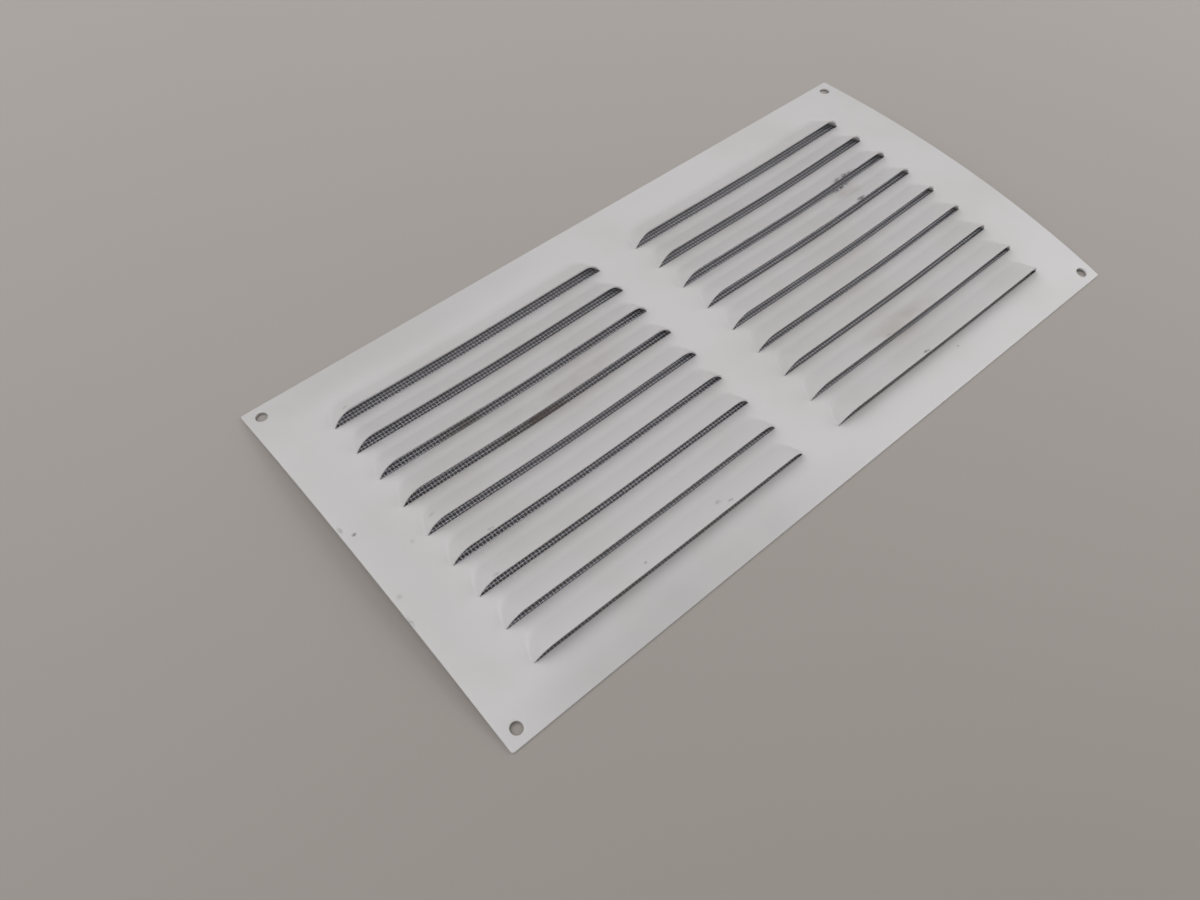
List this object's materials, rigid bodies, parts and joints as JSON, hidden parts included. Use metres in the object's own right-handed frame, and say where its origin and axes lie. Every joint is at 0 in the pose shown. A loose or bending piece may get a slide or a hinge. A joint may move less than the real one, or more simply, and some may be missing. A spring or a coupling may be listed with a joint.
{
  "type": "ventilation grille",
  "caption": "Slightly bowed rectangular white sheet-metal ventilation grille with columns of pressed hooded louvres, corner screw holes and an insect screen bonded to its back.",
  "frame": {"origin": "centre of the plate in plan, on the plane of its two long lower edges, which it lies on", "axes": "+X along the louvres, +Y across them from the open lips to the roots of the hoods, +Z out of the face"},
  "size_m": [0.3, 0.15, 0.0114],
  "materials": {
    "white_lacquer": "satin white stove lacquer on aluminium sheet",
    "grey_mesh": "matt grey coated fly screen"
  },
  "bodies": {
    "root": {"louvre_plate": "white_lacquer", "insect_screen": "grey_mesh"}
  },
  "joints": []
}
